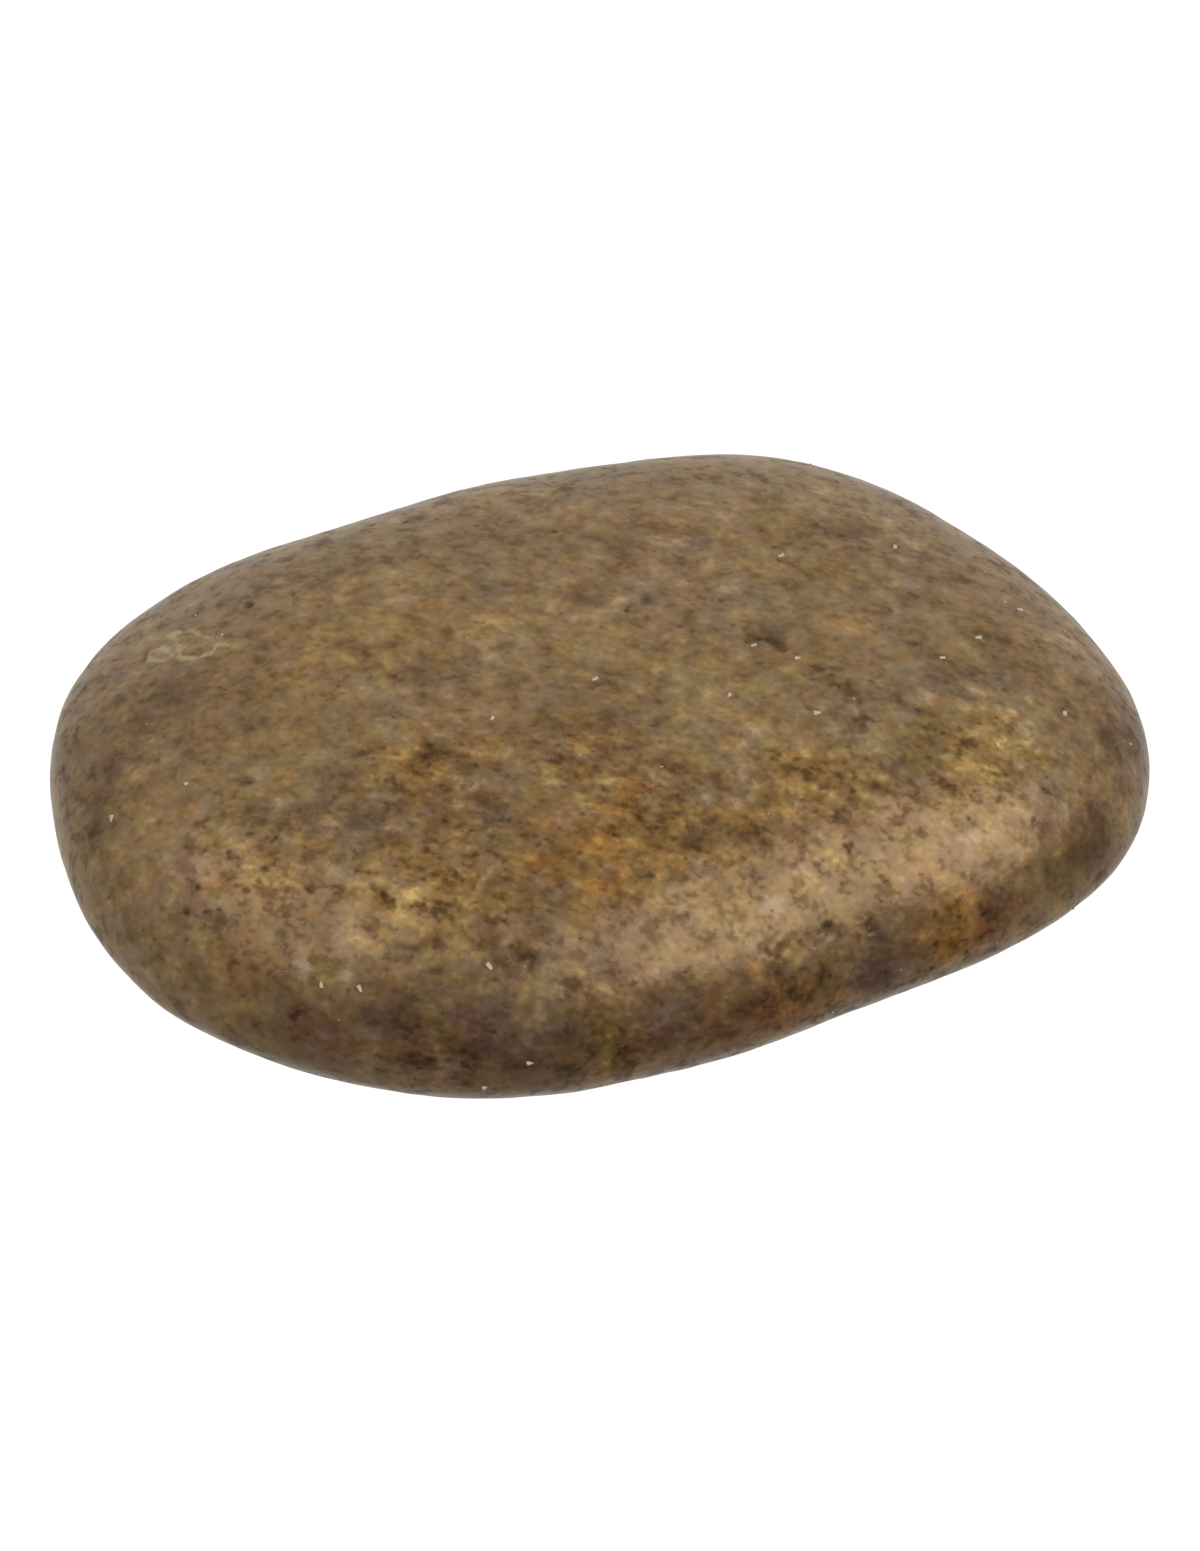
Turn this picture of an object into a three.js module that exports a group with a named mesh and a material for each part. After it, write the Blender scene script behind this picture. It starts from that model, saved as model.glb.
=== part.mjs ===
// A flat, oval pocket pebble of pyrite-bearing rock, rounded and polished all over. It is one solid stone.
// Units are millimetres, +Z is up, and the stone's long side runs along X. It lies on a small flat worn on its
// underside, and the origin is on that flat, below the middle of the stone.

import * as THREE from "three";
import { mergeVertices } from "three/addons/utils/BufferGeometryUtils.js";

// Driving dimensions. The girdle is the stone's widest line, where the crown meets the belly.
const MEAN_RADIUS = 19; // of the outline seen from above
const CROWN_HEIGHT = 6.6; // from the girdle up to the top
const BELLY_DEPTH = 5; // from the girdle down, before the flat was worn
const FLAT_WEAR = 0.2; // taken off the belly's lowest part
const CROWN_FLATNESS = 3.3; // 2 is an ellipse in section, and more is flatter with a tighter shoulder
const BELLY_FLATNESS = 2.6;

// The outline swells in evenly spaced lobes: how many, how far out, and the direction of one of them in degrees.
const LOBES = [
  { count: 2, swell: 3.37, toward: 1 },
  { count: 3, swell: 0.18, toward: 2 },
  { count: 4, swell: 0.59, toward: -21 },
  { count: 5, swell: 0.23, toward: -12 },
  { count: 6, swell: 0.22, toward: -22 },
  { count: 7, swell: 0.15, toward: -8 },
  { count: 8, swell: 0.09, toward: 14 },
];

// Faces where the stone was rubbed flatter: the direction each looks in seen from above and its slope, in degrees,
// how far it lies from the middle of the girdle, and how softly it runs into the round stone.
const WORN_FACES = [{ toward: 134, slope: 34, distance: 12.9, softness: 0.6 }];

const FACET_DETAIL = 15;

function outlineRadius(angle) {
  return LOBES.reduce(
    (radius, lobe) => radius + lobe.swell * Math.cos(lobe.count * (angle - THREE.MathUtils.degToRad(lobe.toward))),
    MEAN_RADIUS,
  );
}

// The height of the crown, or the depth of the belly, where reach runs from 0 in the middle to 1 at the girdle.
function domeHeight(reach, height, flatness) {
  return height * Math.sqrt(Math.max(0, 1 - reach ** flatness));
}

// Draws a point that stands proud of a worn face back to it.
function wear(point, face) {
  const slope = THREE.MathUtils.degToRad(face.slope);
  const toward = THREE.MathUtils.degToRad(face.toward);
  const outward = new THREE.Vector3(
    Math.sin(slope) * Math.cos(toward),
    Math.sin(slope) * Math.sin(toward),
    Math.cos(slope),
  );
  const proud = (point.dot(outward) - face.distance) / face.softness;
  return point.addScaledVector(outward, -face.softness * Math.log1p(Math.exp(proud)));
}

// Moves a point of the unit sphere onto the stone.
function settle(point) {
  const angle = Math.atan2(point.y, point.x);
  const reach = Math.min(1, Math.hypot(point.x, point.y));
  const radius = outlineRadius(angle) * reach;
  const height =
    point.z > 0
      ? domeHeight(reach, CROWN_HEIGHT, CROWN_FLATNESS)
      : -domeHeight(reach, BELLY_DEPTH, BELLY_FLATNESS);
  point.set(radius * Math.cos(angle), radius * Math.sin(angle), height);
  WORN_FACES.forEach((face) => wear(point, face));
  const flat = FLAT_WEAR - BELLY_DEPTH;
  point.z = Math.max(point.z, flat) - flat;
  return point;
}

function pebbleGeometry() {
  const ball = new THREE.IcosahedronGeometry(1, FACET_DETAIL);
  ball.deleteAttribute("normal");
  ball.deleteAttribute("uv");
  const stone = mergeVertices(ball);
  const places = stone.getAttribute("position");
  const point = new THREE.Vector3();
  for (let i = 0; i < places.count; i += 1) {
    settle(point.fromBufferAttribute(places, i));
    places.setXYZ(i, point.x, point.y, point.z);
  }
  stone.computeBoundingBox();
  const middle = stone.boundingBox.getCenter(new THREE.Vector3());
  stone.translate(-middle.x, -middle.y, 0);
  stone.computeVertexNormals();
  return stone;
}

const polishedRock = new THREE.MeshStandardMaterial({ color: "#80684c", roughness: 0.35, metalness: 0 });

const pebble = new THREE.Mesh(pebbleGeometry(), polishedRock);
pebble.name = "pebble";

const pocketStone = new THREE.Group();
pocketStone.add(pebble);

export default pocketStone;
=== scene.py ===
"""Builds a flat, polished pocket pebble of speckled, pyrite-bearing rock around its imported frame."""

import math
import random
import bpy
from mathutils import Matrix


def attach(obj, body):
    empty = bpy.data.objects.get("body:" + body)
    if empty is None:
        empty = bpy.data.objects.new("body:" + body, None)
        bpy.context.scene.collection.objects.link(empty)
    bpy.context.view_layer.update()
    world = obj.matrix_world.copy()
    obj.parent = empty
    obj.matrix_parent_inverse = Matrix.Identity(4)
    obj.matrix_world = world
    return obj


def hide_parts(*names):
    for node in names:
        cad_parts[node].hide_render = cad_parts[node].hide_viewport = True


bl_info = {
    "name": "Pocket Pebble",
    "version": (1, 0, 0),
    "blender": (4, 5, 0),
    "location": "View3D > Sidebar > Pebble",
    "description": "Builds a polished pocket pebble with its speckled rock, pits, vein and bright grains",
    "category": "Add Mesh",
}

import bmesh
import bpy
from mathutils import Matrix, Vector, kdtree, noise
from mathutils.bvhtree import BVHTree

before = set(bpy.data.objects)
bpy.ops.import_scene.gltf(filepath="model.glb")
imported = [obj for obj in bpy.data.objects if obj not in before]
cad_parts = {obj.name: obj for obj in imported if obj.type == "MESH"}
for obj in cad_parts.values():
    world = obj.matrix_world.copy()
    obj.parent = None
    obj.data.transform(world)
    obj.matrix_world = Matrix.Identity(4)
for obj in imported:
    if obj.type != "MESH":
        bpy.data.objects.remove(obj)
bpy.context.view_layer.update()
BODY = "root"
NODE = "pebble"
MM = 0.001


# ---------------------------------------------------------------- settings


class PebbleSurface(bpy.types.PropertyGroup):
    """The relief, the small marks and the colours of the polished surface."""

    smoothing: bpy.props.IntProperty(
        name="Smoothing", description="Subdivisions of the frame's facets", default=2, min=1, max=3
    )
    swell_height: bpy.props.FloatProperty(
        name="Swell height", description="Height of the unevenness that polishing left",
        default=0.07 * MM, unit="LENGTH",
    )
    pit_count: bpy.props.IntProperty(
        name="Pit count", description="Small pits all over the stone", default=130, min=0
    )
    grain_count: bpy.props.IntProperty(
        name="Grain count", description="Small pyrite crystals all over the stone", default=70, min=0
    )
    seed: bpy.props.IntProperty(name="Seed", description="Places the small pits and crystals", default=7)
    gloss_colour: bpy.props.FloatVectorProperty(
        name="Gloss colour", description="Tint of the light that the polish throws back",
        default=(1, 0.66, 0.38), min=0, max=1, subtype="COLOR",
    )
    quartz_colour: bpy.props.FloatVectorProperty(
        name="Quartz colour", description="Colour of the milky spots",
        default=(0.31, 0.245, 0.17), min=0, max=1, subtype="COLOR",
    )
    vein_colour: bpy.props.FloatVectorProperty(
        name="Vein colour", description="Colour of the thin vein",
        default=(0.27, 0.23, 0.12), min=0, max=1, subtype="COLOR",
    )
    pyrite_colour: bpy.props.FloatVectorProperty(
        name="Pyrite colour", description="Colour of the small crystals",
        default=(0.24, 0.195, 0.14), min=0, max=1, subtype="COLOR",
    )


class PebbleStage(bpy.types.PropertyGroup):
    """The camera and the studio."""

    azimuth: bpy.props.FloatProperty(
        name="Azimuth", description="Camera's turn round the stone",
        default=math.radians(-12), subtype="ANGLE",
    )
    elevation: bpy.props.FloatProperty(
        name="Elevation", description="Camera's height above the horizon",
        default=math.radians(46), subtype="ANGLE",
    )
    distance: bpy.props.FloatProperty(
        name="Distance", description="From the camera to the stone", default=350 * MM, unit="LENGTH"
    )
    view_height: bpy.props.FloatProperty(
        name="View height", description="Height of what the camera sees at the stone",
        default=63.57 * MM, unit="LENGTH",
    )
    target: bpy.props.FloatVectorProperty(
        name="Target", description="Point that the camera looks at",
        default=(0, 0.1 * MM, 4.8 * MM), subtype="TRANSLATION",
    )
    key_glow: bpy.props.FloatProperty(
        name="Key glow", description="Brightness of the front lamp", default=4.6, min=0
    )
    fill_glow: bpy.props.FloatProperty(
        name="Fill glow", description="Brightness of the left lamp", default=2.8, min=0
    )
    room_glow: bpy.props.FloatProperty(
        name="Room glow", description="Brightness of the room behind the stone", default=0.75, min=0
    )


# ---------------------------------------------------------------- shader maths


class Socket:
    """An output of a node. Arithmetic on it adds Math nodes, or Vector Math for colours and vectors."""

    def __init__(self, tree, output):
        self.tree = tree
        self.output = output

    def is_wide(self):
        """Tells whether it carries a colour or a vector."""
        return self.output.type != "VALUE"

    def combine(self, operation, *values):
        """Adds the maths node for an operation on some values."""
        wide = any(
            value.is_wide() if isinstance(value, Socket) else isinstance(value, tuple) for value in values
        )
        made = self.tree.nodes.new("ShaderNodeVectorMath" if wide else "ShaderNodeMath")
        made.operation = operation
        for socket, value in zip(made.inputs, values):
            plain = isinstance(value, (int, float))
            link(self.tree, (value, value, value) if wide and plain else value, socket)
        return Socket(self.tree, made.outputs[0])

    def __add__(self, other):
        return self.combine("ADD", self, other)

    __radd__ = __add__

    def __sub__(self, other):
        return self.combine("SUBTRACT", self, other)

    def __rsub__(self, other):
        return self.combine("SUBTRACT", other, self)

    def __mul__(self, other):
        return self.combine("MULTIPLY", self, other)

    __rmul__ = __mul__


def link(tree, value, socket):
    """Links a Socket into a node's socket, or sets a plain value on it."""
    if isinstance(value, Socket):
        tree.links.new(value.output, socket)
    elif socket.type == "RGBA":
        socket.default_value = (*value, 1)
    else:
        socket.default_value = value


def set_stops(elements, stops):
    """Gives a colour ramp its stops, which each have a position and a colour."""
    while len(elements) < len(stops):
        elements.new(0.5)
    for element, (position, colour) in zip(elements, stops):
        element.position = position
        element.color = (*colour, 1)


class Nodes:
    """The nodes of a material or of the world."""

    def __init__(self, owner):
        owner.use_nodes = True
        self.tree = owner.node_tree
        self.tree.nodes.clear()

    def node(self, kind, settings=None, sockets=None, output=0):
        """Adds a node, applies its settings, fills its sockets by name or number, and returns an output."""
        made = self.tree.nodes.new("ShaderNode" + kind)
        for name, value in (settings or {}).items():
            if name == "stops":
                set_stops(made.color_ramp.elements, value)
            else:
                setattr(made, name, value)
        for name, value in (sockets or {}).items():
            link(self.tree, value, made.inputs[name])
        return None if output is None else Socket(self.tree, made.outputs[output])

    def field(self, name):
        """A value that the piece carries at its vertices."""
        return self.node("Attribute", {"attribute_name": name}, output="Fac")

    def grain(self, place, size, detail, roughness, output="Fac"):
        """Noise whose largest blotches have a size."""
        sockets = {"Vector": place, "Scale": 1 / size, "Detail": detail, "Roughness": roughness}
        return self.node("TexNoise", None, sockets, output)

    def step(self, value, low, high, start=0, end=1):
        """Runs smoothly from a start to an end while a value runs from low to high."""
        sockets = {"Value": value, "From Min": low, "From Max": high, "To Min": start, "To Max": end}
        return self.node("MapRange", {"interpolation_type": "SMOOTHSTEP"}, sockets)

    def split(self, colour):
        """The three channels of a colour."""
        parts = self.node("SeparateColor", None, {"Color": colour}).output.node.outputs
        return [Socket(self.tree, part) for part in parts]

    def blend(self, share, first, second):
        """Mixes two colours."""
        return self.node("Mix", {"data_type": "RGBA"}, {0: share, 6: first, 7: second}, output=2)

    def close(self, kind, shader):
        """Joins a shader to the output of a Material or a World."""
        self.node("Output" + kind, None, {"Surface": shader}, None)


# ---------------------------------------------------------------- the rock


# The rock's grains from the darkest to the palest.
ROCK_COLOURS = [
    (0.00, (0.047, 0.021, 0.005)),
    (0.18, (0.080, 0.045, 0.016)),
    (0.36, (0.111, 0.068, 0.030)),
    (0.50, (0.131, 0.085, 0.041)),
    (0.64, (0.154, 0.103, 0.0525)),
    (0.82, (0.194, 0.135, 0.073)),
    (1.00, (0.260, 0.191, 0.115)),
]

# Stains, patches (some of them painted shade or painted highlight) and soot multiply the rock's colour by
# these.
GOLDEN = (1.02, 1.01, 0.76)
GREYISH = (0.98, 0.99, 1.17)
RUSTY = (1.05, 0.965, 0.96)
MOSSY = (0.97, 1.015, 1.01)
SOOTY = (0.36, 0.27, 0.14)
TINTS = {
    "umber": (0.80, 0.75, 0.74),
    # painted shade: makes the stone's front side darker and bluer than the rock
    "shade": (0.725, 0.645, 0.88),
    "flecked": (1.05, 0.98, 0.75),
    "murk": (0.56, 0.51, 0.58),
    # paler rock on the top, and painted highlight where these patches lie on the front shoulder and side
    "pale": (1.36, 1.36, 1.30),
    "ash": (0.94, 1.00, 1.13),
    "rust": (1.08, 0.92, 0.75),
    # lighter rock on the top, and painted highlight where these patches lie along the front shoulder
    "tan": (1.20, 1.20, 1.16),
}

PYRITE_GLOSS = (1, 0.85, 0.65)  # tints the light that the crystals throw back

# The rock's bedding is turned from the stone's long side, and the marks run a little longer along it.
BED_TURN = math.radians(-27)
BED_STRETCH = (1.12, 0.94, 0.94)

# The sizes of the marks in the rock, and of the ripples that polishing left.
BLOTCH = 1.1 * MM
STAIN = 1 * MM
GRAIN = 0.25 * MM
CLOUD = 5 * MM
RAG = 1 * MM
FLECK = 0.45 * MM
RIPPLE = 0.4 * MM
RIPPLE_HEIGHT = 0.016 * MM

# Each noise is read at a place of its own, so that no two are alike.
STAIN_PLACE = (0.2, 0, 0)
CLOUD_PLACE = (0.1, 0, 0)
RAG_PLACE = (0, 0.1, 0)
FLECK_PLACE = (0, 0, 0.1)

# The middles that the noises, the rust and the rock's colours vary about.
NOISE_MIDDLE = 0.5
RUST_MIDDLE = 0.56
LEVEL_MIDDLE = 0.53

# Where the stains turn from one colour to the other.
GOLD_EDGE = (-0.25, 0.25)
RUST_EDGE = (-0.18, 0.18)

# How strongly one thing shows in another.
FLECKED_VIVIDNESS = 0.7
GRAIN_IN_TONE = 0.16
GRAIN_IN_RUST = 0.12
GRAIN_IN_QUARTZ = 0.3
TONE_CONTRAST = 1.4
GOLD_CONTRAST = 0.5
CLOUD_CONTRAST = 0.6
CLOUD_IN_GOLD = 0.5
CLOUD_IN_RUST = 0.4
GOLD_IN_RUST = 0.45
STAIN_IN_FLECKS = 0.35
FLECKED_FLECKS = 0.12

# How ragged each mark is, where its soft edge starts and ends, and how well it covers the rock.
PATCH_RAG = 1.6
PATCH_EDGE = (0.1, 0.9)
PIT_RAG = 0.7
PIT_EDGE = (0.1, 0.95)
PIT_COVER = 0.85
FLECK_EDGE = (0.81, 1.04)
FLECK_COVER = 0.8
QUARTZ_RAG = 1.2
QUARTZ_EDGE = (0.35, 1.1)
QUARTZ_COVER = 0.55
VEIN_RAG = 1.8
VEIN_EDGE = (0.25, 0.85)
VEIN_COVER = 0.85

# The tones between which the dark grains dull the polish, and how much they and the soot dull it.
DULL_EDGE = (0, -0.15)
TONE_DULLNESS = 0.5
SOOT_DULLNESS = 0.6


def mottle(nodes, bed, stains, grains):
    """The rock's tone, which is below zero where it is dark, and its mottled colour."""
    blotches = nodes.grain(bed, BLOTCH, detail=2.4, roughness=0.75)
    clouds = nodes.split(nodes.grain(bed + CLOUD_PLACE, CLOUD, detail=2.5, roughness=0.65, output="Color"))
    light, yellow, red = [cloud - NOISE_MIDDLE for cloud in clouds]
    vivid = nodes.field("flecked") * FLECKED_VIVIDNESS + 1
    tone = (blotches - NOISE_MIDDLE + (grains[0] - NOISE_MIDDLE) * GRAIN_IN_TONE) * vivid
    gold = (stains[0] - NOISE_MIDDLE) * vivid
    rust = (stains[1] + grains[1] * GRAIN_IN_RUST - RUST_MIDDLE) * vivid
    level = tone * TONE_CONTRAST + gold * GOLD_CONTRAST + light * CLOUD_CONTRAST + LEVEL_MIDDLE
    golden = nodes.step(gold + yellow * CLOUD_IN_GOLD, *GOLD_EDGE)
    rusty = nodes.step(rust + gold * GOLD_IN_RUST + red * CLOUD_IN_RUST, *RUST_EDGE)
    colour = nodes.node("ValToRGB", {"stops": ROCK_COLOURS}, {"Fac": level}, "Color")
    colour = colour * nodes.blend(golden, GREYISH, GOLDEN)
    return tone, colour * nodes.blend(rusty, MOSSY, RUSTY)


def tint(nodes, colour, ragged):
    """Tints the rock in its patches, which have ragged edges; some patches are painted shade or painted
    highlight.
    """
    for name, patch_tint in TINTS.items():
        share = nodes.step(nodes.field(name) + ragged * PATCH_RAG, *PATCH_EDGE)
        colour = nodes.blend(share, colour, colour * patch_tint)
    return colour


def soot(nodes, bed, stains, ragged):
    """How dark the rock's flecks and pits make it."""
    flecks = nodes.grain(bed + FLECK_PLACE, FLECK, detail=1.5, roughness=0.5) + stains[2] * STAIN_IN_FLECKS
    fleck = nodes.step(flecks + nodes.field("flecked") * FLECKED_FLECKS, *FLECK_EDGE)
    pit = nodes.step(nodes.field("pit") + ragged * PIT_RAG, *PIT_EDGE)
    return fleck * FLECK_COVER + pit * PIT_COVER


def inclusions(nodes, settings, colour, ragged, grains):
    """Lays the milky quartz spots and the cream vein over the rock."""
    quartz = nodes.field("quartz") + ragged * QUARTZ_RAG + grains[0] * GRAIN_IN_QUARTZ
    colour = nodes.blend(nodes.step(quartz, *QUARTZ_EDGE) * QUARTZ_COVER, colour, settings.quartz_colour)
    vein = nodes.field("vein") + ragged * VEIN_RAG
    return nodes.blend(nodes.step(vein, *VEIN_EDGE) * VEIN_COVER, colour, settings.vein_colour)


def polish(nodes, settings, place, colour, dullness):
    """A rippled, glossy surface that turns dull where the rock didn't take the polish."""
    ripples = nodes.grain(place, RIPPLE, detail=2, roughness=0.6)
    bump = nodes.node("Bump", None, {"Height": ripples, "Strength": 1, "Distance": RIPPLE_HEIGHT})
    polished = nodes.node("BsdfPrincipled", None, {
        "Base Color": colour, "Roughness": 0.28, "IOR": 1.55,
        "Specular Tint": settings.gloss_colour, "Normal": bump,
    })
    dull = nodes.node("BsdfPrincipled", None, {
        "Base Color": colour, "Roughness": 0.7, "IOR": 1.3, "Normal": bump,
    })
    return nodes.node("MixShader", None, {0: dullness, 1: polished, 2: dull})


def rock_material(settings):
    """Mottled rock, glossy where it took the polish and dull in its dark grains, flecks and pits."""
    material = bpy.data.materials.new("polished_rock")
    nodes = Nodes(material)
    place = nodes.node("TexCoord", output="Object")
    bed = nodes.node("Mapping", {"vector_type": "TEXTURE"},
                     {"Vector": place, "Rotation": (0, 0, BED_TURN), "Scale": BED_STRETCH})
    stains = nodes.split(nodes.grain(bed + STAIN_PLACE, STAIN, detail=1.4, roughness=0.5, output="Color"))
    cells = {"Vector": bed, "Scale": 1 / GRAIN, "Smoothness": 0.35}
    grains = nodes.split(nodes.node("TexVoronoi", {"feature": "SMOOTH_F1"}, cells, "Color"))
    ragged = nodes.grain(bed + RAG_PLACE, RAG, detail=4, roughness=0.75) - NOISE_MIDDLE
    tone, colour = mottle(nodes, bed, stains, grains)
    colour = tint(nodes, colour, ragged)
    dark = soot(nodes, bed, stains, ragged)
    colour = nodes.blend(dark, colour, colour * SOOTY)
    colour = inclusions(nodes, settings, colour, ragged, grains)
    dullness = nodes.step(tone, *DULL_EDGE) * TONE_DULLNESS + dark * SOOT_DULLNESS
    nodes.close("Material", polish(nodes, settings, place, colour, dullness))
    return material


def crystal_material(settings):
    """Bright pyrite."""
    material = bpy.data.materials.new("pyrite_crystal")
    nodes = Nodes(material)
    nodes.close("Material", nodes.node("BsdfPrincipled", None, {
        "Base Color": settings.pyrite_colour, "Roughness": 0.3, "IOR": 1.6, "Specular Tint": PYRITE_GLOSS,
    }))
    return material


# ---------------------------------------------------------------- marks on the stone


# Places on the stone, in millimetres. A pit or a patch also has the distance that it reaches.
CRACKS = [
    [(6.1, 0.5, 11.3), (6.9, 0, 11.3), (7.5, -0.8, 11.3)],
    [(8.2, -1.6, 11.2), (8.8, -2.2, 11.2)],
    [(9.2, -3, 11.1), (9.8, -3.9, 11.1)],
    [(9.9, -4.5, 11), (9.7, -5.3, 10.9)],
    [(-13.6, -8.3, 9.8), (-13, -8.4, 9.9), (-12.2, -8.7, 10)],
    [(-10.8, -9.4, 10.1), (-10.4, -10.2, 9.9)],
    [(-9.9, -10.2, 10), (-8.8, -11, 9.9)],
    [(-7.9, -9.2, 10.6), (-7.6, -9.8, 10.4)],
]
VEIN = [
    [(-16.5, 6, 9.4), (-16.9, 7, 9), (-17.3, 7.1, 8.7), (-17.5, 6.5, 8.8), (-16.9, 5.9, 9.3),
     (-16.5, 6, 9.4)],
    [(-16.3, 5.6, 9.5), (-16.2, 6.7, 9.3), (-16.3, 7.7, 8.9), (-15.6, 7.3, 9.4), (-14.7, 5.6, 10.1),
     (-15.1, 5.1, 10.1), (-15.7, 5.1, 9.9), (-16.3, 5.6, 9.5)],
    [(-14.7, 5.6, 10.1), (-14, 4.9, 10.4)],
]
PITS = [
    ((6.3, 0.4, 11.3), 0.6), ((6.9, 0, 11.3), 0.45), ((7.4, -0.6, 11.3), 0.55), ((8.6, -1.9, 11.2), 0.6),
    ((9.6, -3.4, 11.1), 0.7), ((9.8, -4.7, 11), 0.55), ((-13.1, 7.5, 10.1), 0.5), ((8.5, 4.6, 11), 0.3),
    ((-9.1, -11.9, 9.4), 0.5), ((-6.7, -11.6, 9.9), 0.5), ((-6.2, -12.8, 9.3), 0.6),
    ((-5.6, -13.2, 9.1), 0.6), ((-4.2, -14.4, 8.3), 0.5), ((3.9, -13.5, 8.2), 0.6),
    ((4.4, -13.7, 7.9), 0.5), ((6.6, -13.1, 7.9), 0.6), ((8.2, -12.9, 7.6), 0.5),
    ((-15.1, -2.6, 10.4), 0.4), ((2.6, 3.2, 11.4), 0.5), ((2.4, 2.2, 11.4), 0.4),
]
PATCHES = {
    "umber": [((20, -5, 8), 3), ((14, 3.5, 10.5), 3), ((-19, 6, 8.5), 2), ((-1.5, -4, 11.4), 4),
              ((-8.5, -5.5, 11), 4.5), ((20.5, -5, 6), 5), ((17, -1, 9.8), 3.5), ((17.5, -9.5, 6), 3),
              ((-20.5, 2, 7), 4), ((2.3, 7, 11.2), 2.5)],
    # painted shade along the stone's front side
    "shade": [((-14, -12.3, 5.8), 3), ((-11.5, -13.3, 7), 2.6), ((-8, -14.7, 6.8), 3.2),
              ((-10, -14.3, 5.8), 3.4), ((-5.5, -15.4, 5.8), 3.8), ((-1, -15.6, 6), 3.8),
              ((4, -15, 5.8), 3.4), ((9, -13.8, 5.6), 3), ((14, -11.8, 5.4), 2.8)],
    "murk": [((21, -4.5, 7), 3.2), ((18, -8.8, 6), 3), ((-16.9, 3.6, 9.8), 2.4), ((-15, -4, 10.5), 1.4),
             ((-11, -6, 10.8), 1.4), ((-12.8, -5, 10.7), 1.9), ((-13.5, -8, 9.9), 1.2),
             ((-13.5, -10, 9), 1.4), ((-7.3, -3.4, 11.3), 1.2), ((-7.2, 0.9, 11.4), 1.5),
             ((-5.7, -7, 11), 1.7), ((-1.8, -13.2, 9.3), 2.2), ((-8, -15, 7), 1.2), ((-6.3, -13.2, 9), 1.7),
             ((8.5, -10, 10), 1.6), ((16.5, -8.5, 8.5), 2.1), ((7, 0, 11.3), 1.5), ((0, -3.5, 11.4), 1.3),
             ((8, -14, 5.5), 1.5), ((6, -13, 8), 1.2), ((8.3, -12.8, 7.6), 1.3), ((-21, -1, 7.5), 1.7),
             ((-18, -7, 8.5), 1.5), ((-19.8, 1, 8), 1.7), ((-18.3, 2.5, 9), 1.8), ((-16.6, -8.4, 8.3), 1.5),
             ((-17.8, -5, 9), 1.4), ((13.4, -2.8, 10.6), 1.3), ((16.5, -2.5, 9.8), 1.3),
             ((4.2, -11.2, 10), 1.8), ((5.8, -9.6, 10.7), 1.2), ((1.8, -9.5, 11), 1.3),
             ((2.2, -11.4, 10.2), 1.4), ((9.5, -5, 11), 1.4), ((11, -7.5, 10.6), 1.5),
             ((0.3, 4.3, 11.4), 1.6), ((-3.7, 5.2, 11.3), 1.2), ((5.5, 6.2, 11.2), 1.4),
             ((12, 6.3, 10.4), 1.8)],
    # paler rock on the top; on the front shoulder and side, painted highlight
    "pale": [((-9.3, -3, 11.1), 1.8), ((-8.8, -10.2, 10.2), 2.4), ((-15.5, -7, 9.5), 1.8),
             ((7, -7, 11), 2.5), ((15, -6, 10), 2.6), ((10.5, 0.5, 11), 2), ((-1.5, -14.5, 8), 2),
             ((12, -12.6, 7), 2.9), ((14.3, -11.3, 5.5), 2.1), ((2.8, -13.8, 8), 1.9),
             ((17.6, -1.1, 9.4), 2.1), ((-0.5, -7.2, 11.2), 2), ((-2.8, -11.7, 10), 1.6),
             ((-4, 3, 11.4), 2.2), ((-17.2, -9.8, 7.5), 1.2), ((5, -14, 7.2), 1.4), ((4, -14.8, 5), 1.8),
             ((-12, 2.5, 10.9), 2)],
    "ash": [((10.5, -4.5, 11), 4.5), ((15, -3, 10.3), 5), ((2.6, 3.5, 11.4), 2.2), ((-3.5, 6.3, 11.2), 2.2),
            ((7, 2, 11.3), 3.5), ((12.5, 2.5, 10.8), 3), ((-15.5, -11, 7), 3), ((-6.5, -8, 10.9), 1.6),
            ((-11, -6.5, 10.7), 1.6)],
    "rust": [((-14.5, -11.8, 6.8), 2), ((-8.3, -4.1, 11.2), 2), ((-5.5, -3.7, 11.3), 1.6),
             ((12, -12.5, 6.5), 4), ((-16.5, -10, 7.6), 2.6), ((-2, -9.5, 10.8), 5), ((3, -15, 5.5), 3.5)],
    # lighter rock on the top; along the front shoulder, painted highlight
    "tan": [((-8, 4, 11.1), 5), ((0, 3, 11.4), 4), ((5, -3, 11.4), 4), ((-11.5, -9.5, 9.8), 3.6),
            ((3.5, -11.5, 9.8), 4), ((-17.5, -4.5, 9.4), 4), ((12, -9.5, 9.5), 4.5)],
    "flecked": [((-15, -7, 9.8), 5), ((-8, -9, 10.5), 6), ((0, -9, 10.7), 6), ((7, -9, 10.4), 6),
                ((14, -7, 9.8), 5), ((-8, -4, 11), 4), ((-2, -5, 11.2), 3), ((-10, -14.3, 5.8), 3),
                ((-3, -15.6, 6), 3.5), ((5, -15, 5.8), 3.5), ((12, -12.5, 5.5), 3)],
    "quartz": [((13.2, -10.1, 8.9), 0.7), ((4.3, -12.4, 9.1), 0.8), ((5.7, -11.3, 9.6), 0.5),
               ((-14.4, -11, 8.2), 0.7), ((-12.8, -11.9, 8.4), 0.5)],
}
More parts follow.
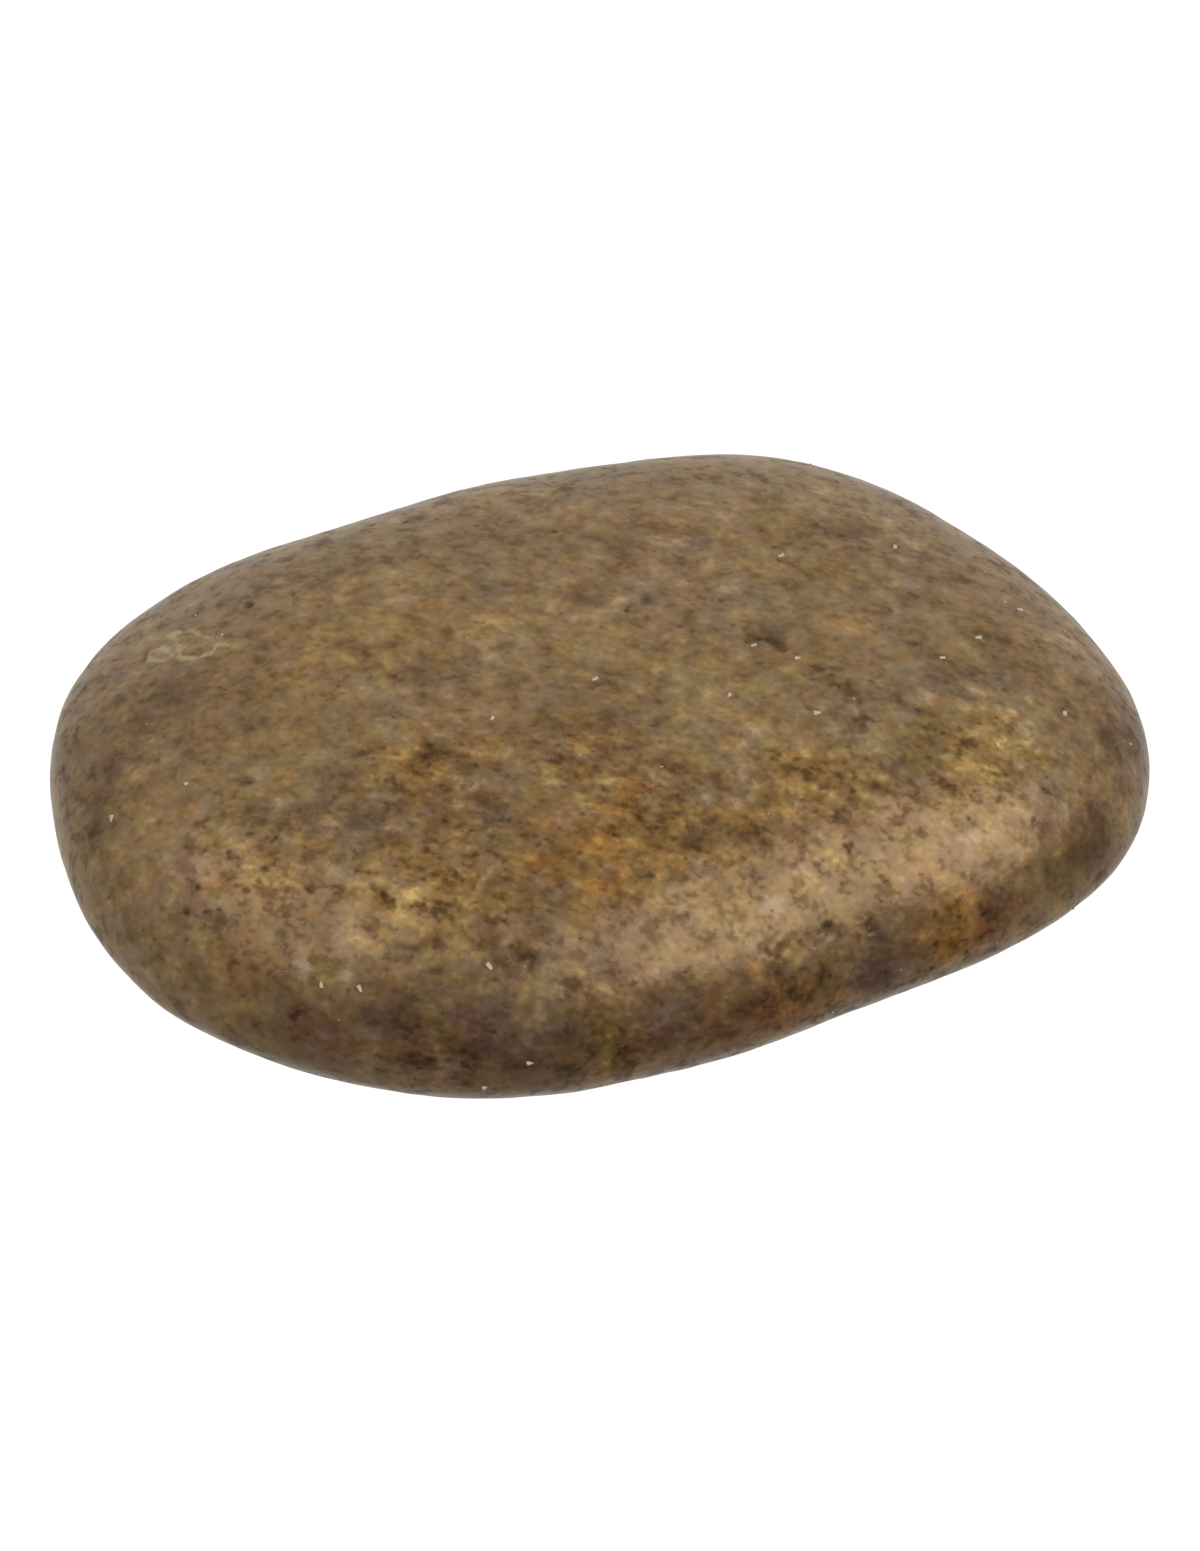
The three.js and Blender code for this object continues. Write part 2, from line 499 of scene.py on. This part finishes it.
CRYSTALS = [
    (6.3, -0.2, 11.3), (7.9, -1.2, 11.3), (8, -4.3, 11.2), (4.7, -2.8, 11.3), (8.6, 4.9, 11),
    (13.5, 5.2, 10.2), (13.8, -1.8, 10.6), (15.6, -0.6, 10.2), (15, -6.4, 9.9), (18.3, -4.5, 9.1),
    (17.9, 1.5, 9.3), (-4.9, -2.1, 11.4), (-0.4, -0.8, 11.4), (-20.4, -1.3, 8.1), (-17.3, -1.6, 9.7),
    (-13.8, -11.8, 7.9), (-12.4, -12.5, 8.1), (-7.3, -13.2, 9), (-6.2, -15.7, 5.8), (-8, -15.6, 4.6),
]


# ---------------------------------------------------------------- shaping the stone


WELD = 0.001 * MM
CRACK_GAP = 0.12 * MM  # between the pits that make up a crack
VEIN_GAP = 0.04 * MM
FINE_REACH = 0.45 * MM  # the skin is finer this near to a pit, a crack or the vein
FINEST_REACH = 0.22 * MM  # and finer still this near to a crack or the vein

# How far a mark reaches in millimetres, how strong it is, and how much its outline frays.
SMALL_PIT_REACH = (0.12, 0.28)
SMALL_PIT_STRENGTH = (0.4, 0.7)
CRACK_REACH = (0.1, 0.3)
CRACK_STRENGTH = (0.7, 1.2)
PIT_FRAY = 1.2
VEIN_REACH = 0.25
VEIN_STRENGTH = (0.4, 0.9)
VEIN_FRAY = 0.8
FRAY_SIZE = 0.35 * MM

PIT_DEPTH = 0.04 * MM
FULLNESS = 0.03 * MM  # makes up for what smoothing takes off
WIDE_SWELL = 3 * MM
NARROW_SWELL = 0.9 * MM
NARROW_SHARE = 0.3
EASE_HEIGHT = 1.5 * MM  # the relief fades out below this height, towards the rest face


def along(path, gap):
    """Points along a path of straight runs, at most a gap apart."""
    points = []
    for start, end in zip(path, path[1:]):
        start = Vector(start) * MM
        end = Vector(end) * MM
        count = math.ceil((end - start).length / gap)
        points += [start.lerp(end, step / count) for step in range(count)]
    return points


def link_object(name, data):
    """Adds an object to the scene."""
    made = bpy.data.objects.new(name, data)
    bpy.context.scene.collection.objects.link(made)
    return made


def smooth_skin(levels):
    """The frame's facets merged and subdivided into a smooth skin."""
    skin = bmesh.new()
    skin.from_mesh(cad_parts[NODE].data)
    bmesh.ops.remove_doubles(skin, verts=skin.verts, dist=WELD)
    mesh = bpy.data.meshes.new("skin")
    skin.to_mesh(mesh)
    skin.free()
    rough = link_object("rough", mesh)
    modifier = rough.modifiers.new("smooth", "SUBSURF")
    modifier.levels = modifier.render_levels = levels
    bpy.context.view_layer.update()
    evaluated = rough.evaluated_get(bpy.context.evaluated_depsgraph_get())
    smooth = bpy.data.meshes.new_from_object(evaluated)
    bpy.data.objects.remove(rough)
    return smooth


def tree_of(points):
    """A tree that finds the nearest of some points."""
    tree = kdtree.KDTree(len(points))
    for index, point in enumerate(points):
        tree.insert(point, index)
    tree.balance()
    return tree


def refine(skin, places, reach):
    """Splits the faces near some places into four."""
    tree = tree_of(places)
    near = [face for face in skin.faces if tree.find(face.calc_center_median())[2] < reach]
    edges = list({edge for face in near for edge in face.edges})
    bmesh.ops.subdivide_edges(skin, edges=edges, cuts=1, use_grid_fill=True)


def spread(tree, values, place, reach, strength=1, fray=0):
    """Adds a soft patch with a frayed outline to the values of a skin's vertices."""
    for point, index, gap in tree.find_range(place, reach):
        near = 1 - gap / reach * (1 + fray * noise.noise(point / FRAY_SIZE))
        values[index] = max(values[index], strength * near)


def small_pits(skin, count, chance):
    """Pits all over a skin, each with its place, its reach and its strength."""
    skin.verts.ensure_lookup_table()
    return [
        (chance.choice(skin.verts).co.copy(), chance.uniform(*SMALL_PIT_REACH) * MM,
         chance.uniform(*SMALL_PIT_STRENGTH))
        for _ in range(count)
    ]


def mark(skin, settings):
    """Refines a skin near its fine marks, and gives each kind of mark a strength at each vertex."""
    chance = random.Random(settings.seed)
    surface = BVHTree.FromBMesh(skin)
    pits = [(Vector(place) * MM, reach * MM, 1) for place, reach in PITS]
    pits += small_pits(skin, settings.pit_count, chance)
    pits = [(surface.find_nearest(place)[0], reach, strength) for place, reach, strength in pits]
    cracks = [surface.find_nearest(point)[0] for path in CRACKS for point in along(path, CRACK_GAP)]
    vein = [surface.find_nearest(point)[0] for path in VEIN for point in along(path, VEIN_GAP)]
    refine(skin, cracks + vein + [place for place, _, _ in pits], FINE_REACH)
    refine(skin, cracks + vein, FINEST_REACH)
    for place in cracks:
        pits.append((place, chance.uniform(*CRACK_REACH) * MM, chance.uniform(*CRACK_STRENGTH)))
    tree = tree_of([vert.co for vert in skin.verts])
    fields = {name: [0.0] * len(skin.verts) for name in ("pit", "vein", *PATCHES)}
    for place, reach, strength in pits:
        spread(tree, fields["pit"], place, reach, strength, PIT_FRAY)
    for place in vein:
        spread(tree, fields["vein"], place, VEIN_REACH * MM, chance.uniform(*VEIN_STRENGTH), VEIN_FRAY)
    for name, patches in PATCHES.items():
        for place, reach in patches:
            spread(tree, fields[name], surface.find_nearest(Vector(place) * MM)[0], reach * MM)
    return fields


def press(skin, pits, swell_height):
    """Gives a skin its soft swells, presses its pits in, and keeps it above the rest face."""
    skin.normal_update()
    for vert, pit in zip(skin.verts, pits):
        ease = min(1, vert.co.z / EASE_HEIGHT)
        swell = noise.noise(vert.co / WIDE_SWELL) + NARROW_SHARE * noise.noise(vert.co / NARROW_SWELL)
        pit = min(1, pit)
        depth = PIT_DEPTH * pit * pit * (3 - 2 * pit)
        vert.co += vert.normal * (FULLNESS + ease * (swell_height * swell - depth))
        vert.co.z = max(0, vert.co.z)


class PEBBLE_OT_stone(bpy.types.Operator):
    """Builds the stone"""

    bl_idname = "pebble.stone"
    bl_label = "Stone"

    def execute(self, context):
        settings = context.scene.pebble_surface
        mesh = smooth_skin(settings.smoothing)
        mesh.name = "polished_pebble"
        skin = bmesh.new()
        skin.from_mesh(mesh)
        fields = mark(skin, settings)
        press(skin, fields["pit"], settings.swell_height)
        skin.to_mesh(mesh)
        skin.free()
        for name, values in fields.items():
            mesh.attributes.new(name, "FLOAT", "POINT").data.foreach_set("value", values)
        mesh.shade_smooth()
        mesh.materials.clear()
        mesh.materials.append(rock_material(settings))
        stone = link_object("polished_pebble", mesh)
        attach(stone, BODY)
        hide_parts(NODE)
        return {"FINISHED"}


# ---------------------------------------------------------------- the crystals


GLINT = Vector((0.2, -0.59, 0.78))  # the way a crystal's face looks when it catches the front lamp
BRIGHT_SIZES = (0.20, 0.28)  # in millimetres
SMALL_SIZES = (0.08, 0.16)
CRYSTAL_SHAPE = (1.3, 0.8, 0.6)
CRYSTAL_SINK = 0.16  # of the crystal's size
CRYSTAL_BEVEL = 0.12
LOWEST_CRYSTAL = 1 * MM


def grow_crystal(crystals, place, turn, size):
    """Adds a bevelled block to a mesh."""
    matrix = Matrix.Translation(place) @ turn @ Matrix.Diagonal((*CRYSTAL_SHAPE, 1))
    made = bmesh.ops.create_cube(crystals, size=size, matrix=matrix)
    edges = list({edge for vert in made["verts"] for edge in vert.link_edges})
    bmesh.ops.bevel(crystals, geom=edges, offset=size * CRYSTAL_BEVEL, segments=1, profile=0.5,
                    affect="EDGES", material=-1)


class PEBBLE_OT_crystals(bpy.types.Operator):
    """Sets the small pyrite crystals into the stone"""

    bl_idname = "pebble.crystals"
    bl_label = "Crystals"

    def execute(self, context):
        settings = context.scene.pebble_surface
        stone = bpy.data.objects["polished_pebble"].data
        surface = BVHTree.FromPolygons([vert.co for vert in stone.vertices],
                                       [list(face.vertices) for face in stone.polygons])
        chance = random.Random(settings.seed)
        places = [(Vector(place) * MM, GLINT, chance.uniform(*BRIGHT_SIZES) * MM) for place in CRYSTALS]
        for _ in range(settings.grain_count):
            place = chance.choice(stone.vertices).co
            facing = Vector([chance.gauss(0, 1) for _ in range(3)])
            places.append((place, facing, chance.uniform(*SMALL_SIZES) * MM))
        crystals = bmesh.new()
        for place, facing, size in places:
            spot, normal, _, _ = surface.find_nearest(place)
            if spot.z < LOWEST_CRYSTAL:
                continue
            spin = Matrix.Rotation(chance.uniform(0, math.tau), 4, "Z")
            turn = facing.to_track_quat("Z", "Y").to_matrix().to_4x4() @ spin
            grow_crystal(crystals, spot - normal * size * CRYSTAL_SINK, turn, size)
        bmesh.ops.recalc_face_normals(crystals, faces=crystals.faces)
        mesh = bpy.data.meshes.new("pyrite_crystals")
        crystals.to_mesh(mesh)
        crystals.free()
        mesh.materials.append(crystal_material(settings))
        piece = link_object("pyrite_crystals", mesh)
        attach(piece, BODY)
        return {"FINISHED"}


# ---------------------------------------------------------------- the stage


LAMP_DISTANCE = 450 * MM

# Each lamp's turn from +X, its rise above the horizon and its half angle seen from the stone, in degrees.
KEY_LAMP = (-39, 48.3, 27.3)
FILL_LAMP = (-177, 57.6, 22.6)

ROOM_TURN = math.radians(104)  # the room is brightest this way
ROOM_RISE = math.radians(-35)
ROOM_EDGES = (-0.71, 0.13)  # the cosines from that way at which the room is dark and is fully bright
ROOM_COLOUR = (1, 0.95, 0.86)

FLOOR_RADIUS = 1.2  # of the flat middle, in metres
FLOOR_CURVE = 0.6
FLOOR_SIDES = 96
CURVE_STEPS = 8
FLOOR_DROP = 0.02 * MM  # keeps the floor out of the rest face
FLOOR_GLOW = 1.05

SENSOR_WIDTH = 36  # in millimetres, as cameras have it
NEAREST_SEEN = 0.01
FURTHEST_SEEN = 10


def bearing(turn, rise):
    """The direction at an angle round from +X and an angle up from the horizon."""
    return Vector((math.cos(turn) * math.cos(rise), math.sin(turn) * math.cos(rise), math.sin(rise)))


def softbox(name, lamp_angles, glow):
    """Adds a round soft lamp that faces the stone."""
    turn, rise, half_angle = [math.radians(angle) for angle in lamp_angles]
    data = bpy.data.lights.new(name, "AREA")
    data.shape = "DISK"
    radius = LAMP_DISTANCE * math.tan(half_angle)
    data.size = 2 * radius
    area = math.pi * radius ** 2
    data.energy = glow * math.pi * area
    lamp = link_object(name, data)
    lamp.location = bearing(turn, rise) * LAMP_DISTANCE
    lamp.rotation_euler = bearing(turn, rise).to_track_quat("Z", "Y").to_euler()


def surround(glow):
    """A pale room that is brightest low behind the stone."""
    world = bpy.data.worlds.new("surround")
    nodes = Nodes(world)
    direction = nodes.node("TexCoord", output="Generated")
    vectors = {0: direction, 1: bearing(ROOM_TURN, ROOM_RISE)}
    facing = nodes.node("VectorMath", {"operation": "DOT_PRODUCT"}, vectors, "Value")
    light = {"Color": ROOM_COLOUR, "Strength": nodes.step(facing, *ROOM_EDGES, 0, glow)}
    nodes.close("World", nodes.node("Background", None, light))
    bpy.context.scene.world = world


def floor_dish():
    """A wide floor whose edge sweeps up to a wall, so that every low view ends on it."""
    dish = bmesh.new()
    bmesh.ops.create_circle(dish, cap_ends=True, segments=FLOOR_SIDES, radius=FLOOR_RADIUS)
    rim = [edge for edge in dish.edges if edge.is_boundary]
    for step in range(1, CURVE_STEPS + 1):
        angle = math.radians(90 * step / CURVE_STEPS)
        raised = bmesh.ops.extrude_edge_only(dish, edges=rim)["geom"]
        rim = [part for part in raised if isinstance(part, bmesh.types.BMEdge)]
        verts = {vert for edge in rim for vert in edge.verts}
        radius = FLOOR_RADIUS + FLOOR_CURVE * math.sin(angle)
        for vert in verts:
            flat = vert.co.xy.normalized() * radius
            vert.co = (flat.x, flat.y, FLOOR_CURVE * (1 - math.cos(angle)))
    bmesh.ops.translate(dish, vec=(0, 0, -FLOOR_DROP), verts=dish.verts)
    mesh = bpy.data.meshes.new("floor")
    dish.to_mesh(mesh)
    dish.free()
    mesh.shade_smooth()
    return mesh


def lay_floor():
    """A plain pale floor that glows evenly and leaves the stone's light alone."""
    material = bpy.data.materials.new("floor")
    nodes = Nodes(material)
    nodes.close("Material", nodes.node("BsdfPrincipled", None, {
        "Base Color": (0, 0, 0), "Specular IOR Level": 0,
        "Emission Color": (1, 1, 1), "Emission Strength": FLOOR_GLOW,
    }))
    material.cycles.emission_sampling = "NONE"
    floor = link_object("floor", floor_dish())
    floor.data.materials.append(material)
    floor.visible_diffuse = floor.visible_glossy = floor.visible_shadow = False


def set_camera(scene, settings):
    """Aims the camera at its target."""
    toward = bearing(settings.azimuth - math.pi / 2, settings.elevation)
    data = bpy.data.cameras.new("camera")
    data.sensor_width = SENSOR_WIDTH
    data.lens = SENSOR_WIDTH * settings.distance / settings.view_height
    data.clip_start = NEAREST_SEEN
    data.clip_end = FURTHEST_SEEN
    camera = link_object("camera", data)
    camera.location = Vector(settings.target) + toward * settings.distance
    camera.rotation_euler = toward.to_track_quat("Z", "Y").to_euler()
    scene.camera = camera


class PEBBLE_OT_stage(bpy.types.Operator):
    """Sets the floor, the lights and the camera"""

    bl_idname = "pebble.stage"
    bl_label = "Stage"

    def execute(self, context):
        settings = context.scene.pebble_stage
        lay_floor()
        set_camera(context.scene, settings)
        softbox("key", KEY_LAMP, settings.key_glow)
        softbox("fill", FILL_LAMP, settings.fill_glow)
        surround(settings.room_glow)
        context.scene.view_settings.view_transform = "Standard"
        return {"FINISHED"}


# ---------------------------------------------------------------- the panel


class PEBBLE_PT_panel(bpy.types.Panel):
    """Lists the settings and the steps"""

    bl_idname = "PEBBLE_PT_panel"
    bl_label = "Pocket Pebble"
    bl_space_type = "VIEW_3D"
    bl_region_type = "UI"
    bl_category = "Pebble"

    def draw(self, context):
        for name, group in SETTINGS.items():
            for setting in group.__annotations__:
                self.layout.prop(getattr(context.scene, name), setting)
        for step in STEPS:
            self.layout.operator(step.bl_idname)


STEPS = (PEBBLE_OT_stage, PEBBLE_OT_stone, PEBBLE_OT_crystals)
CLASSES = (PebbleSurface, PebbleStage, *STEPS, PEBBLE_PT_panel)
SETTINGS = {"pebble_surface": PebbleSurface, "pebble_stage": PebbleStage}


def register():
    for item in CLASSES:
        bpy.utils.register_class(item)
    for name, group in SETTINGS.items():
        setattr(bpy.types.Scene, name, bpy.props.PointerProperty(type=group))


def unregister():
    for name in SETTINGS:
        delattr(bpy.types.Scene, name)
    for item in reversed(CLASSES):
        bpy.utils.unregister_class(item)


def main():
    register()
    bpy.ops.pebble.stage()
    bpy.ops.pebble.stone()
    bpy.ops.pebble.crystals()


if __name__ == "__main__":
    main()
